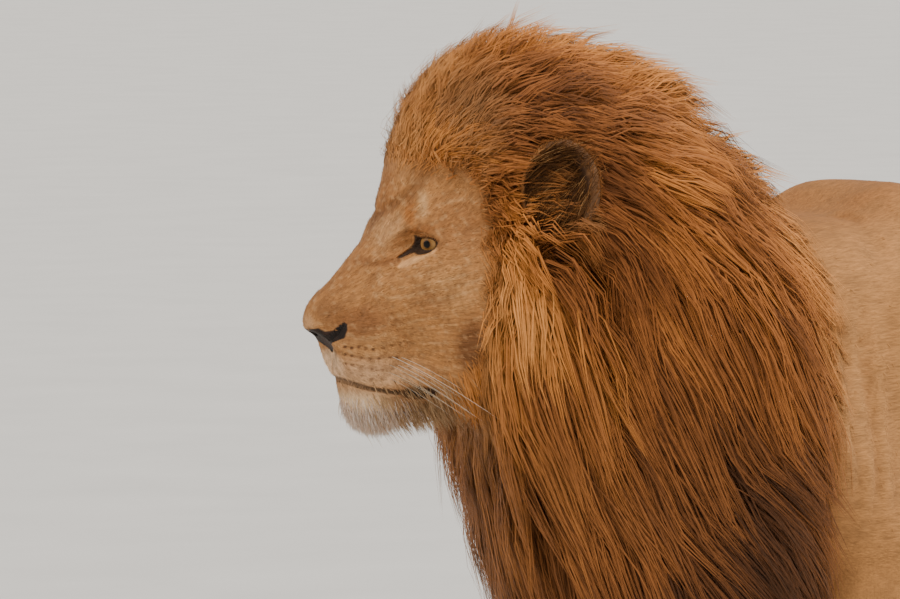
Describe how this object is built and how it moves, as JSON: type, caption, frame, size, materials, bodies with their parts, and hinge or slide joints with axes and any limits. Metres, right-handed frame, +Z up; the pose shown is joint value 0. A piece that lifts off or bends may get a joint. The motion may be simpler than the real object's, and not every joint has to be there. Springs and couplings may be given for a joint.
{
  "type": "standing male lion",
  "caption": "Life-size adult male lion with a full mane, standing at ease with its head turned to its right.",
  "frame": {"origin": "middle of the bounding box's bottom, on the floor between the four paws", "axes": "+X forward along the trunk, +Y to the lion's left, +Z up"},
  "size_m": [2.0588, 0.5354, 1.3045],
  "materials": {
    "coat": "short tawny fur, flat and slightly glossy along the lie",
    "face": "very short tan fur with grey-brown mottling",
    "mane": "long orange-brown hair in wavy locks, darker low on the neck",
    "ear": "short dark hair behind and long pale hair in the cup",
    "tuft": "long dark brown hair",
    "eye": "amber iris behind a clear wet cornea",
    "nose": "dark moist nose leather, lids and lips",
    "whisker": "stiff pale hairs",
    "claw": "smooth horn"
  },
  "bodies": {
    "root": {"head": "face", "lower_jaw": "face", "neck": "mane", "trunk": "coat", "ear_left": "ear", "ear_right": "ear", "eye_left": "eye", "eye_right": "eye", "upper_foreleg_left": "coat", "upper_foreleg_right": "coat", "forearm_left": "coat", "forearm_right": "coat", "forepaw_left": "coat", "forepaw_right": "coat", "thigh_left": "coat", "thigh_right": "coat", "shank_left": "coat", "shank_right": "coat", "hind_foot_left": "coat", "hind_foot_right": "coat", "hind_paw_left": "coat", "hind_paw_right": "coat", "tail_root": "coat", "tail_middle": "coat", "tail_tuft": "tuft"}
  },
  "joints": []
}
